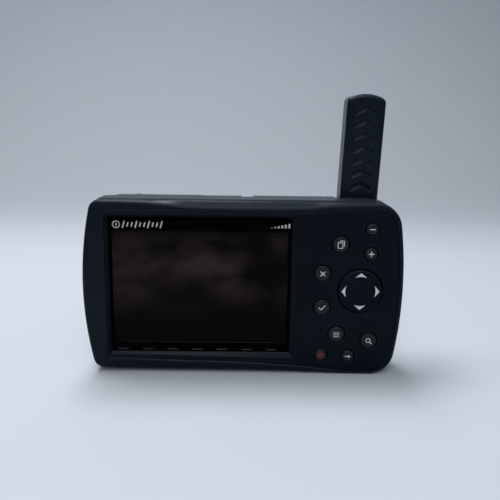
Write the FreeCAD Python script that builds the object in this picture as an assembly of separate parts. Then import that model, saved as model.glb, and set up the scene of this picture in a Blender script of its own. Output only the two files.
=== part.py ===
"""Handheld landscape GPS navigator with a fold-up blade antenna, in millimetres.

The unit stands on its bottom edge: X runs along its length, Y runs back from the screen, Z is up.
The origin is the middle of the bottom of its overall box. Every piece is written to parts/NODE.step.
"""
import FreeCAD
import Part
import math
import os

V = FreeCAD.Vector

# ---------------------------------------------------------------- driving dimensions
WIDTH = 147.4          # overall length of the casing
HEIGHT = 81.7          # casing height without the raised antenna
DEPTH = 51.0           # key crowns to the back of the battery pack
MID_Z = HEIGHT / 2

KEY_CROWN_Y = -DEPTH / 2            # foremost point: the rim of the rocker
FACE_Y = KEY_CROWN_Y + 0.9          # flat front face
PARTING_Y = FACE_Y + 7.0            # back of the front casing
GASKET_T = 0.6
SHELL_Y = PARTING_Y + GASKET_T      # front rim of the rear casing
SHOULDER_Y = -5.5                   # flat back of the rear casing beside the hump
HUMP_Y = 9.0                        # back of the hump
BACK_Y = DEPTH / 2                  # back of the battery pack
WALL = 2.2

LEFT_BOW = 168.0                    # radii of the two bowed short sides
RIGHT_BOW = 200.0
LEFT_CORNER_R = 5.0
RIGHT_CORNER_R = 12.0
FRONT_DRAFT = 0.2                   # how much the front outline is smaller than the parting outline
TOP_FALL = 0.7                      # how far the front casing's top falls away towards the parting line
EDGE_R = 1.3                        # rounding of the front edge
SCOOP_DEPTH = 2.8                   # depth of the facet between the waved front edge and the plain outline

PANEL_CLEAR = 0.22                  # gap between the face panel and the front casing
PANEL_T = 2.8
LEDGE = 1.5

LENS = (-60.9, 10.4, 21.7, 74.1)    # visible glass: left, bottom, right, top
LENS_LIP = 0.8                      # how far the glass runs under the bevel
LENS_SINK = 1.5
LENS_T = 1.2
# The window bevel has two slopes. Corners run from lower left round to upper left.
BEVEL_RIM = [(-62.2, 8.0), (27.0, 4.95), (26.6, 75.9), (-62.2, 75.9)]
BEVEL_KNEE = [(-61.7, 9.4), (24.3, 7.5), (24.3, 75.1), (-61.7, 75.1)]
BEVEL_KNEE_SINK = 0.45
LCD_VIEW = (-60.0, 14.3, 20.3, 67.8)

HUMP = (-65.5, 0.0, 42.6, 80.5)     # left, bottom, right, top
HUMP_CORNER_R = 4.5
PACK = (-44.5, 14.5, 32.5, 67.5)
PACK_FRONT_Y = 3.5
PACK_CLEAR = 0.4
CELL_R = 9.15
CELL_L = 65.0

KEY_GAP = 0.5
LARGE_KEY = 7.1
SMALL_KEY = 5.3
KEYS = {
    "key_zoom_out": (57.8, 69.9, SMALL_KEY),
    "key_zoom_in": (57.8, 58.6, SMALL_KEY),
    "key_page": (43.9, 62.8, LARGE_KEY),
    "key_quit": (36.2, 49.2, LARGE_KEY),
    "key_enter": (36.4, 33.1, LARGE_KEY),
    "key_menu": (43.6, 20.0, LARGE_KEY),
    "key_find": (58.8, 17.0, LARGE_KEY),
    "key_power": (36.7, 9.8, SMALL_KEY),
    "key_direct": (49.4, 9.3, SMALL_KEY),
}
ROCKER = (53.7, 41.0)
ROCKER_D = 19.8
ROCKER_GAP = 0.7
ROCKER_FLANGE_R = 11.3
PAD_PIVOT_Y = -20.9                 # upright barrel that the pad tips on
CARRIER_PIVOT_Y = -19.2             # level barrel that the carrier tips on
BARREL_R = 0.6

BOARD_Y = -13.2
BOARD_T = 1.2
KEY_BOARD_Y = -17.5
KEY_BOARD_T = 1.0

SCREWS = [(-52.0, 6.0), (-52.0, 77.0), (66.4, 14.0), (66.4, 67.0)]
SCREW_HEAD_R = 2.1
SCREW_R = 1.1

ANTENNA_PIVOT = V(54.3, 1.3, 73.0)
ANTENNA_CANT = 2.0                  # the pivot axis droops outward by this angle
ANTENNA_W = 18.0
ANTENNA_T = 12.6
ANTENNA_TIP_Z = 129.5
ANTENNA_TOP_R = 18.0
ANTENNA_EDGE_R = 1.6
HUB_R = 5.4
CHEVRONS = 7
CHEVRON_PITCH = 5.9

PORT_Y = 1.8
PORTS = {"usb": 60.5, "audio": 46.0, "aux": 31.5}
PORT_CAP = (9.0, 11.0)              # along Y, along Z
PORT_CAP_T = 1.6
BEAD_R = 0.5                        # bead along each cap's lower edge that it turns on
POWER_Z = 14.0

CONTACT_X = (18.0, 21.5, 25.0, 28.5)
STUD = (-6.0, 21.2)                 # quarter-turn stud that holds the pack: X, Z
STUD_R = 2.4

os.makedirs("parts", exist_ok=True)


# ---------------------------------------------------------------- helpers
def save(name, *shapes):
    """Writes one node. Several shapes stay separate solids of the node."""
    shape = shapes[0] if len(shapes) == 1 else Part.makeCompound(list(shapes))
    shape.exportStep(f"parts/{name}.step")
    solids = shape.Solids
    print(f"{name:20s} solids {len(solids):2d} volume {sum(s.Volume for s in solids):9.1f} valid {shape.isValid()}")


def box(x0, y0, z0, x1, y1, z1):
    return Part.makeBox(x1 - x0, y1 - y0, z1 - z0, V(x0, y0, z0))


def rod_y(x, z, r, y0, y1):
    return Part.makeCylinder(r, y1 - y0, V(x, y0, z), V(0, 1, 0))


def rod_x(y, z, r, x0, x1):
    return Part.makeCylinder(r, x1 - x0, V(x0, y, z), V(1, 0, 0))


def prism(wire, y0, y1):
    """Solid between y0 and y1 with the wire, drawn at any Y, as its section."""
    moved = wire.copy()
    moved.translate(V(0, y0 - wire.BoundBox.YMin, 0))
    return Part.Face(moved).extrude(V(0, y1 - y0, 0))


def rounded_plate(rect, y0, y1, r):
    """Block on an X-Z rectangle (left, bottom, right, top) with its four corners rounded."""
    solid = box(rect[0], y0, rect[1], rect[2], y1, rect[3])
    upright = [e for e in solid.Edges if abs(e.tangentAt(e.FirstParameter).y) > 0.99]
    return solid.makeFillet(r, upright)


def grown(rect, by):
    return (rect[0] - by, rect[1] - by, rect[2] + by, rect[3] + by)


def edges_at_y(shape, y, tolerance=1e-3):
    """The edges that lie in the plane at y."""
    return [e for e in shape.Edges if abs(e.BoundBox.YMin - y) < tolerance and abs(e.BoundBox.YMax - y) < tolerance]


def corner(side_x, big_r, r, edge_z, sx, sz):
    """Arc of radius r that joins a bowed side, whose centre is side_x, to a level edge at edge_z."""
    cz = edge_z - sz * r
    dz = cz - MID_Z
    cx = side_x + sx * math.sqrt((big_r - r) ** 2 - dz ** 2)
    on_side = (side_x + (cx - side_x) * big_r / (big_r - r), MID_Z + dz * big_r / (big_r - r))
    on_edge = (cx, edge_z)
    mx = on_side[0] + on_edge[0] - 2 * cx
    mz = on_side[1] + on_edge[1] - 2 * cz
    k = r / math.hypot(mx, mz)
    return on_side, (cx + mx * k, cz + mz * k), on_edge


def outline(y, left, right, top, bottom, left_r, right_r, left_bow=LEFT_BOW, right_bow=RIGHT_BOW):
    """Closed outline at y. top and bottom are lists of (x, z), whose first and last z are the ends' heights
    and whose inner points shape the wave between the corners."""
    def p(xz):
        return V(xz[0], y, xz[1])

    cl = left + left_bow
    cr = right - right_bow
    tl = corner(cl, left_bow, left_r, top[0][1], -1, 1)
    tr = corner(cr, right_bow, right_r, top[-1][1], 1, 1)
    bl = corner(cl, left_bow, left_r, bottom[0][1], -1, -1)
    br = corner(cr, right_bow, right_r, bottom[-1][1], 1, -1)

    def wave(start, inner, end):
        curve = Part.BSplineCurve()
        points = [p(start)] + [p(q) for q in inner] + [p(end)]
        curve.interpolate(Points=points, InitialTangent=V(1, 0, 0), FinalTangent=V(1, 0, 0))
        return curve.toShape()

    edges = [
        Part.Arc(p(bl[0]), V(left, y, MID_Z), p(tl[0])).toShape(),
        Part.Arc(p(tl[0]), p(tl[1]), p(tl[2])).toShape(),
        wave(tl[2], top[1:-1], tr[2]),
        Part.Arc(p(tr[2]), p(tr[1]), p(tr[0])).toShape(),
        Part.Arc(p(tr[0]), V(right, y, MID_Z), p(br[0])).toShape(),
        Part.Arc(p(br[0]), p(br[1]), p(br[2])).toShape(),
        wave(bl[2], bottom[1:-1], br[2]),
        Part.Arc(p(bl[2]), p(bl[1]), p(bl[0])).toShape(),
    ]
    return Part.Wire(Part.__sortEdges__(edges))


def casing_outline(y, inset=0.0, fall=0.0):
    """The plain outline behind the face, or inside it by inset, with its top edge lower by fall."""
    half = WIDTH / 2 - inset
    crest = HEIGHT - inset - fall
    top = [(0, crest), (-20, crest), (20, crest), (0, crest)]
    bottom = [(0, 1.6 + inset), (-20, 1.5 + inset), (22, 1.0 + inset), (42, 0.2 + inset), (0, inset)]
    return outline(y, -half, half, top, bottom, LEFT_CORNER_R - min(inset, 3.0), RIGHT_CORNER_R - inset)


def face_outline(y):
    """The front outline, with the thumb wave in its top edge."""
    half = WIDTH / 2 - FRONT_DRAFT
    top = [(0, 81.6), (-54, 81.55), (-42, 80.9), (-31, 79.5), (-20, 78.75), (-4, 78.6), (14, 78.65), (28, 79.0),
           (38, 80.2), (0, 81.2)]
    bottom = [(0, 2.4), (-40, 2.2), (4, 1.8), (24, 1.4), (40, 0.6), (0, 0.1)]
    return outline(y, -half, half, top, bottom, LEFT_CORNER_R, RIGHT_CORNER_R - 0.3)


def panel_outline(y, inset=0.0):
    """The seam between the outer frame and the face panel, or inside it by inset."""
    left = -62.9 + inset
    right = WIDTH / 2 - FRONT_DRAFT - 1.9 - inset
    top = [(0, 76.3), (-40, 76.4), (-5, 76.45), (18, 76.6), (30, 77.15), (43, 78.4), (0, 79.0)]
    bottom = [(0, 7.5), (-43, 6.9), (-20, 6.25), (3, 5.6), (18, 4.7), (30, 3.8), (44, 2.1), (0, 1.3)]
    top = [(x, z - inset) for x, z in top]
    bottom = [(x, z + inset) for x, z in bottom]
    return outline(y, left, right, top, bottom, 1.4 - min(inset, 0.9), 10.0 - inset, left_bow=4000.0)


def turned(shape, centre, axis, degrees):
    moved = shape.copy()
    moved.rotate(centre, axis, degrees)
    return moved


# ---------------------------------------------------------------- front casing and face
def front_casing():
    """Outer frame: bowed ends, waved top edge, an opening for the face panel and a ledge behind it."""
    knee_y = FACE_Y + SCOOP_DEPTH
    sections = [casing_outline(PARTING_Y, fall=TOP_FALL), casing_outline(knee_y), face_outline(FACE_Y)]
    body = Part.makeLoft(sections, True, True)
    body = body.makeFillet(EDGE_R, edges_at_y(body, FACE_Y))
    panel_back = FACE_Y + PANEL_T
    body = body.cut(prism(panel_outline(0), FACE_Y - 1, panel_back))
    body = body.cut(prism(panel_outline(0, LEDGE), panel_back - 0.1, PARTING_Y + 1))
    cavity = prism(casing_outline(0, WALL), panel_back + 1.2, PARTING_Y + 1)
    bosses = [rod_y(x, z, 2.7, panel_back + 0.6, PARTING_Y) for x, z in SCREWS]
    body = body.cut(cavity).fuse(bosses)
    holes = [rod_y(x, z, SCREW_R - 0.15, panel_back + 0.9, PARTING_Y + 1) for x, z in SCREWS]
    return body.cut(Part.makeCompound(holes)).removeSplitter()


def face_panel():
    """Inner face with the window bevel, the key holes and the rocker hole."""
    back = FACE_Y + PANEL_T
    plate = prism(panel_outline(0, PANEL_CLEAR), FACE_Y, back)
    plate = plate.makeFillet(0.3, edges_at_y(plate, FACE_Y))

    def ring(y, corners):
        points = [V(x, y, z) for x, z in corners]
        return Part.makePolygon(points + points[:1])

    gx0, gz0, gx1, gz1 = LENS
    glass = [(gx0, gz0), (gx1, gz0), (gx1, gz1), (gx0, gz1)]
    # the rim ring is carried on in front of the face, so that the cut is clean
    over = 0.5
    share = over / BEVEL_KNEE_SINK
    ahead = [(o[0] + (o[0] - i[0]) * share, o[1] + (o[1] - i[1]) * share) for o, i in zip(BEVEL_RIM, BEVEL_KNEE)]
    rings = [ring(FACE_Y - over, ahead), ring(FACE_Y + BEVEL_KNEE_SINK, BEVEL_KNEE), ring(FACE_Y + LENS_SINK, glass)]
    plate = plate.cut(Part.makeLoft(rings, True, True))
    plate = plate.cut(box(gx0, FACE_Y, gz0, gx1, back + 1, gz1))
    seat = grown(LENS, LENS_LIP)
    plate = plate.cut(box(seat[0], FACE_Y + LENS_SINK, seat[1], seat[2], back + 1, seat[3]))
    for x, z, d in KEYS.values():
        plate = plate.cut(rod_y(x, z, d / 2 + KEY_GAP, FACE_Y - 1, back + 1))
    plate = plate.cut(rod_y(*ROCKER, ROCKER_D / 2 + ROCKER_GAP, FACE_Y - 1, back + 1))
    rims = [e for e in edges_at_y(plate, FACE_Y)
            if isinstance(e.Curve, Part.Circle) and e.Curve.Radius < ROCKER_D and len(e.Vertexes) == 1]
    return plate.makeFillet(0.3, rims)


def display_pieces():
    """Glass, printed mask, seal, screen and its pressed frame."""
    seat = grown(LENS, LENS_LIP - 0.1)
    y = FACE_Y + LENS_SINK
    lens = rounded_plate(seat, y, y + LENS_T, 0.3)
    save("display_lens", lens)
    mask_y = y + LENS_T
    mask_t = 0.1
    mask = box(seat[0], mask_y, seat[1], seat[2], mask_y + mask_t, seat[3])
    hole = box(LCD_VIEW[0], mask_y - 1, LCD_VIEW[1], LCD_VIEW[2], mask_y + 1, LCD_VIEW[3])
    save("lens_mask", mask.cut(hole))
    seal_y = mask_y + mask_t
    seal_t = 0.4
    ring = box(seat[0] + 0.4, seal_y, seat[1] + 0.4, seat[2] - 0.4, seal_y + seal_t, seat[3] - 0.4)
    inner = grown(LCD_VIEW, 0.05)
    save("display_seal", ring.cut(box(inner[0], seal_y - 1, inner[1], inner[2], seal_y + 1, inner[3])))
    lcd_y = seal_y + seal_t
    lcd_t = 1.8
    lcd_rect = grown(LENS, -0.4)
    save("lcd_panel", box(lcd_rect[0], lcd_y, lcd_rect[1], lcd_rect[2], lcd_y + lcd_t, lcd_rect[3]))
    light_t = 1.6
    save("backlight", rounded_plate(lcd_rect, lcd_y + lcd_t, lcd_y + lcd_t + light_t, 1.0))
    frame_wall = 0.4
    tray = box(lcd_rect[0] - frame_wall, lcd_y + 0.1, lcd_rect[1] - frame_wall,
               lcd_rect[2] + frame_wall, lcd_y + lcd_t + light_t + frame_wall, lcd_rect[3] + frame_wall)
    well = box(lcd_rect[0], lcd_y - 1, lcd_rect[1], lcd_rect[2], lcd_y + lcd_t + light_t, lcd_rect[3])
    save("lcd_frame", tray.cut(well))
    ribbon_y = lcd_y + lcd_t + light_t + frame_wall
    save("display_ribbon", box(-28, ribbon_y, 20, -8, ribbon_y + 0.3, 60),
         box(-28, ribbon_y + 0.3, 56, -8, BOARD_Y, 56.3))


def key_cap(x, z, d):
    """Domed cap, a flange that stops it behind the panel, and the stem that presses the switch."""
    r = d / 2
    crown, rim = KEY_CROWN_Y + 0.2, FACE_Y - 0.3
    flange_y = FACE_Y + PANEL_T + 0.1
    profile = [V(x, crown, z), V(x + r, rim, z)]
    dome = Part.Arc(profile[0], V(x + r * 0.62, crown + (rim - crown) * 0.28, z), profile[1]).toShape()
    steps = [(r, rim), (r, flange_y), (r + KEY_GAP + 0.7, flange_y), (r + KEY_GAP + 0.7, flange_y + 0.8),
             (1.4, flange_y + 0.8), (1.4, KEY_BOARD_Y - 1.4), (0, KEY_BOARD_Y - 1.4), (0, crown)]
    points = [V(x + a, b, z) for a, b in steps]
    wire = Part.Wire([dome] + [Part.LineSegment(a, b).toShape() for a, b in zip(points, points[1:])])
    cap = Part.Face(wire).revolve(V(x, 0, z), V(0, 1, 0), 360)
    edge = [e for e in edges_at_y(cap, rim) if isinstance(e.Curve, Part.Circle)]
    return cap.makeFillet(0.3, edge)


def rocker_pieces():
    """Dished thumb pad on a tilting carrier. The carrier tips up and down, the pad tips left and right on it."""
    x, z = ROCKER
    r = ROCKER_D / 2
    rim_y, back_y = KEY_CROWN_Y, -20.4
    pad = rod_y(x, z, r, rim_y, back_y - 0.5)
    pad = pad.makeFillet(0.5, edges_at_y(pad, rim_y))
    bowl_r = 60.0
    bowl = Part.makeSphere(bowl_r, V(x, rim_y + 0.75 - bowl_r, z))
    pad = pad.cut(bowl.common(rod_y(x, z, r - 0.9, rim_y - 5, rim_y + 2)))
    pad = pad.fuse(rod_y(x, z, ROCKER_FLANGE_R, back_y - 0.7, back_y))
    pad = pad.cut(rod_y(x, z, 8.0, back_y - 1.0, back_y + 1))
    upright = Part.makeCylinder(BARREL_R, 3.0, V(x, PAD_PIVOT_Y, z - 1.5), V(0, 0, 1))
    save("rocker_pad", pad.fuse(upright).removeSplitter())
    front = PAD_PIVOT_Y + BARREL_R + 0.1
    carrier = rod_y(x, z, 6.0, front, front + 0.8)
    carrier = carrier.makeFillet(0.3, edges_at_y(carrier, front))
    carrier = carrier.fuse(rod_x(CARRIER_PIVOT_Y, z, BARREL_R, x - 1.5, x + 1.5))
    nubs = []
    for k in range(4):
        a = math.radians(90 * k)
        nubs.append(rod_y(x + 4.6 * math.cos(a), z + 4.6 * math.sin(a), 0.9, front + 0.7, -18.3))
    save("rocker_carrier", carrier.fuse(nubs).removeSplitter())
    top = CARRIER_PIVOT_Y + BARREL_R + 0.1
    post = rod_y(x, z, 1.8, top, KEY_BOARD_Y)
    save("rocker_post", post.makeFillet(0.3, edges_at_y(post, top)))


def keypad_pieces():
    """Silicone web with a hole for each stem, the key board and its metal domes."""
    web = rounded_plate((28.5, 4.5, 62.8, 76.0), -20.1, -19.3, 2.0)
    for x, z, d in KEYS.values():
        web = web.cut(rod_y(x, z, 1.9, -21, -18))
    web = web.cut(rod_y(*ROCKER, ROCKER_FLANGE_R + 0.8, -21, -18))
    save("keypad_web", web)
    board = rounded_plate((28.5, 4.5, 62.8, 76.0), KEY_BOARD_Y, KEY_BOARD_Y + KEY_BOARD_T, 2.0)
    save("key_board", board)
    domes = []
    spots = [(x, z) for x, z, d in KEYS.values()]
    for k in range(4):
        a = math.radians(90 * k)
        spots.append((ROCKER[0] + 4.6 * math.cos(a), ROCKER[1] + 4.6 * math.sin(a)))
    for x, z in spots:
        cap = Part.makeSphere(6.0, V(x, KEY_BOARD_Y + 6.0 - 0.4, z))
        domes.append(cap.common(rod_y(x, z, 1.9, KEY_BOARD_Y - 1, KEY_BOARD_Y)))
    save("switch_domes", *domes)


# ---------------------------------------------------------------- rear casing
def hump_block(inset, y0, y1):
    rect = grown(HUMP, -inset)
    return rounded_plate(rect, y0, y1, HUMP_CORNER_R - min(inset, 3.5))


def rear_casing():
    """Shoulder band and hump with the battery bay, finger scoop, antenna channel and port pockets."""
    shoulder = prism(casing_outline(0, 0.1), SHELL_Y, SHOULDER_Y)
    shoulder = shoulder.makeFillet(1.3, edges_at_y(shoulder, SHOULDER_Y))
    shoulder = shoulder.makeFillet(0.6, edges_at_y(shoulder, SHELL_Y))
    hump = hump_block(0.0, SHOULDER_Y - 3.0, HUMP_Y)
    hump = hump.makeFillet(3.0, edges_at_y(hump, HUMP_Y))
    body = shoulder.fuse(hump)
    # flat sole that the unit stands on
    body = body.fuse(box(-52, SHELL_Y, 0.0, 36, SHOULDER_Y + 0.5, 3.0))
    # a shadow line where the hump leaves the shoulder
    line = hump_block(-2.0, SHOULDER_Y, SHOULDER_Y + 0.7).cut(hump_block(0.6, SHOULDER_Y - 1, SHOULDER_Y + 2))
    line = line.common(box(-80, -20, 40, 80, 20, 90))
    body = body.cut(line)
    # shallow thumb rest and a finger notch beside it, in the top of the hump
    crown = HUMP[3]
    body = body.cut(box(-20.5, SHOULDER_Y + 0.7, crown - 0.35, -2.4, HUMP_Y + 5, crown + 5))
    body = body.cut(rounded_plate((-1.6, crown - 1.1, 4.4, crown + 9), SHOULDER_Y + 0.7, HUMP_Y + 5, 1.0))
    # ear that closes the gap between the hump and the antenna, above the antenna's hub
    ear = box(HUMP[2] - 3.0, SHOULDER_Y, 66.5, HUMP[2] + 1.8, HUMP_Y - 3.0, crown)
    body = body.fuse(ear)
    body = body.cut(canted(rod_x(ANTENNA_PIVOT.y, ANTENNA_PIVOT.z, HUB_R + 0.3, HUMP[2] + 0.1, HUMP[2] + 8)))
    # hollow inside, kept clear of the bay
    front_cavity = prism(casing_outline(0, WALL + 0.4), SHELL_Y - 1, SHOULDER_Y - WALL)
    hump_cavity = hump_block(WALL, SHOULDER_Y - WALL - 0.1, HUMP_Y - WALL)
    bay = grown(PACK, PACK_CLEAR)
    bay_skin = box(bay[0] - WALL, PACK_FRONT_Y - 0.2 - WALL, bay[1] - WALL, bay[2] + WALL, HUMP_Y, bay[3] + WALL)
    body = body.cut(front_cavity.fuse(hump_cavity.cut(bay_skin)))
    body = body.cut(rounded_plate(bay, PACK_FRONT_Y - 0.2, HUMP_Y + 5, 3.0))
    # stud seat boss, screw holes and counterbores
    body = body.fuse(rod_y(*STUD, 5.5, -5.0, PACK_FRONT_Y - 0.3))
    body = body.cut(rod_y(*STUD, 4.0, -10.0, PACK_FRONT_Y + 5))
    for x, z in SCREWS:
        in_hump = x < HUMP[2]
        body = body.fuse(rod_y(x, z, 3.6 if in_hump else 3.0, SHELL_Y, HUMP_Y - 1.0 if in_hump else SHOULDER_Y - 1.0))
        body = body.cut(rod_y(x, z, SCREW_R + 0.2, SHELL_Y - 1, SHOULDER_Y + 1))
        body = body.cut(rod_y(x, z, SCREW_HEAD_R + 0.3, SHOULDER_Y - 1.7, HUMP_Y + 1))
    # pockets and windows for the ports, on the hump's left wall
    wall_x = HUMP[0]
    cy, cz = PORT_CAP[0] / 2 + 0.2, PORT_CAP[1] / 2 + 0.2
    for z in PORTS.values():
        body = body.cut(box(wall_x - 1, PORT_Y - cy, z - cz, wall_x + PORT_CAP_T + 0.1, PORT_Y + cy, z + cz))
        body = body.cut(box(wall_x - 1, PORT_Y - 3.9, z - 3.9, wall_x + 5, PORT_Y + 3.9, z + 3.9)
                        .common(rod_x(PORT_Y, z, 3.9, wall_x - 1, wall_x + 5)))
    body = body.cut(rod_x(PORT_Y, POWER_Z, 5.5, wall_x - 1, wall_x + 10))
    # grooves for the beads that the port caps turn on
    for z in PORTS.values():
        bead_z = z - PORT_CAP[1] / 2
        body = body.cut(rod_y(wall_x, bead_z, BEAD_R + 0.1, PORT_Y - cy, PORT_Y + cy))
    # vent in the top, and the antenna socket's hole in the right wall
    body = body.cut(Part.makeCylinder(0.9, 10, V(-38.0, SHOULDER_Y + 2.6, 74), V(0, 0, 1)))
    socket_hole = rod_x(ANTENNA_PIVOT.y, ANTENNA_PIVOT.z, 3.6, 30, 46)
    body = body.cut(canted(socket_hole))
    slots = [rod_y(x, 24.0, 1.3, 0.0, 6.0) for x in CONTACT_X]
    return body.cut(Part.makeCompound(slots)).removeSplitter()


def casing_gasket():
    ring = prism(casing_outline(0, 0.9), PARTING_Y, SHELL_Y)
    return ring.cut(prism(casing_outline(0, WALL), PARTING_Y - 1, SHELL_Y + 1))


def casing_screws():
    """Four pan heads with cross recesses."""
    made = []
    for x, z in SCREWS:
        seat = SHOULDER_Y - 1.7
        head = rod_y(x, z, SCREW_HEAD_R, seat, seat + 1.4)
        head = head.makeFillet(0.6, edges_at_y(head, seat + 1.4))
        screw = head.fuse(rod_y(x, z, SCREW_R - 0.2, FACE_Y + PANEL_T + 1.4, seat + 0.1)).removeSplitter()
        for dx, dz in ((1.3, 0.28), (0.28, 1.3)):
            screw = screw.cut(box(x - dx, seat + 0.5, z - dz, x + dx, seat + 2, z + dz))
        made.append(screw)
    return made


# ---------------------------------------------------------------- electronics
def board_pieces():
    board = rounded_plate((-58.0, 5.5, 61.5, 75.5), BOARD_Y, BOARD_Y + BOARD_T, 3.0)
    board = board.cut(rod_y(*STUD, 6.5, BOARD_Y - 1, BOARD_Y + 5))
    for x, z in SCREWS:
        board = board.cut(rod_y(x, z, 4.2, BOARD_Y - 1, BOARD_Y + 5))
    save("main_board", board)
    back = BOARD_Y + BOARD_T

    def on_board(x0, z0, x1, z1, t):
        return box(x0, back, z0, x1, back + t, z1)

    shield = on_board(12, 40, 34, 62, 2.8)
    slots = [box(15 + 4 * k, back + 2.4, 44, 16.5 + 4 * k, back + 4, 58) for k in range(5)]
    save("receiver_shield", shield.cut(Part.makeCompound(slots)))
    save("processor", on_board(-18, 44, -3, 59, 1.2))
    chips = [(-34, 50, -24, 58, 1.0), (-34, 36, -22, 44, 1.0), (-2, 30, 8, 36, 1.1), (40, 30, 48, 38, 1.0),
             (44, 50, 52, 56, 0.9), (-50, 60, -43, 66, 1.4), (20, 28, 26, 33, 1.4)]
    save("memory_chips", *[on_board(*c) for c in chips])
    cell = rod_y(-46, 24, 6.2, back, back + 2.1)
    save("backup_cell", cell.makeFillet(0.5, edges_at_y(cell, back + 2.1)))
    buzzer = rod_y(52, 20, 6.0, back, back + 3.2).cut(rod_y(52, 20, 1.0, back + 2.0, back + 5))
    save("buzzer", buzzer)
    link = box(44, KEY_BOARD_Y + KEY_BOARD_T, 66, 58, BOARD_Y, 70)
    save("board_connector", link)


def socket_pieces():
    """Sockets behind the left wall of the hump, and the power connector."""
    x0 = HUMP[0] + PORT_CAP_T + 0.9
    usb_z, audio_z, aux_z = PORTS["usb"], PORTS["audio"], PORTS["aux"]
    shell = box(x0, PORT_Y - 2.0, usb_z - 3.85, x0 + 9.2, PORT_Y + 2.0, usb_z + 3.85)
    shell = shell.cut(box(x0 - 1, PORT_Y - 1.6, usb_z - 3.45, x0 + 7.5, PORT_Y + 1.6, usb_z + 3.45))
    tongue = box(x0 + 2.0, PORT_Y - 0.5, usb_z - 2.4, x0 + 8.0, PORT_Y + 0.4, usb_z + 2.4)
    save("usb_socket", shell.fuse(tongue))

    def jack(z, outer, bore, depth):
        ring = rod_x(PORT_Y, z, outer, x0, x0 + depth + 2)
        return ring.cut(rod_x(PORT_Y, z, bore, x0 - 1, x0 + depth))

    save("audio_jack", jack(audio_z, 3.2, 1.8, 10.0))
    ring = jack(aux_z, 2.9, 1.75, 6.0)
    save("aux_antenna_jack", ring.fuse(rod_x(PORT_Y, aux_z, 0.4, x0 + 1, x0 + 7)))
    wall_x = HUMP[0]
    body = rod_x(PORT_Y, POWER_Z, 5.4, wall_x, wall_x + 9)
    body = body.cut(rod_x(PORT_Y, POWER_Z, 4.5, wall_x - 1, wall_x + 3.8))
    body = body.cut(box(wall_x - 1, PORT_Y - 0.8, POWER_Z + 4.0, wall_x + 3.8, PORT_Y + 0.8, POWER_Z + 5.0))
    save("power_socket", body)
    pins = []
    for k in range(4):
        a = math.radians(45 + 90 * k)
        pin = rod_x(PORT_Y + 2.2 * math.cos(a), POWER_Z + 2.2 * math.sin(a), 0.5, wall_x + 0.8, wall_x + 3.8)
        pins.append(pin.makeFillet(0.2, [e for e in pin.Edges if abs(e.BoundBox.XMax - wall_x - 0.8) < 1e-6]))
    save("power_pins", *pins)


def port_cap(z, stub):
    """Rubber cap: a rounded plate with a stub into the socket and a finger tab at its top."""
    wall_x = HUMP[0]
    cy, cz = PORT_CAP[0] / 2, PORT_CAP[1] / 2
    plate = box(wall_x, PORT_Y - cy, z - cz, wall_x + PORT_CAP_T, PORT_Y + cy, z + cz)
    outer = [e for e in plate.Edges if abs(e.BoundBox.XMin - wall_x) < 1e-6 and abs(e.BoundBox.XMax - wall_x) < 1e-6
             and abs(e.BoundBox.ZMin - (z - cz)) > 1e-3]
    plate = plate.makeFillet(0.5, outer)
    bead = rod_y(wall_x, z - cz, BEAD_R, PORT_Y - cy, PORT_Y + cy)
    grip = box(wall_x - 0.6, PORT_Y - 2.2, z + cz - 2.4, wall_x + 0.4, PORT_Y + 2.2, z + cz - 1.2)
    return plate.fuse([grip, stub, bead]).removeSplitter()


def port_caps():
    x = HUMP[0] + PORT_CAP_T - 0.1
    save("usb_cap", port_cap(PORTS["usb"], box(x, PORT_Y - 1.2, PORTS["usb"] - 2.4, x + 0.9, PORT_Y + 1.2,
                                               PORTS["usb"] + 2.0)))
    save("audio_cap", port_cap(PORTS["audio"], rod_x(PORT_Y, PORTS["audio"], 2.4, x, x + 0.9)))
    save("aux_cap", port_cap(PORTS["aux"], rod_x(PORT_Y, PORTS["aux"], 2.2, x, x + 0.9)))


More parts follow.
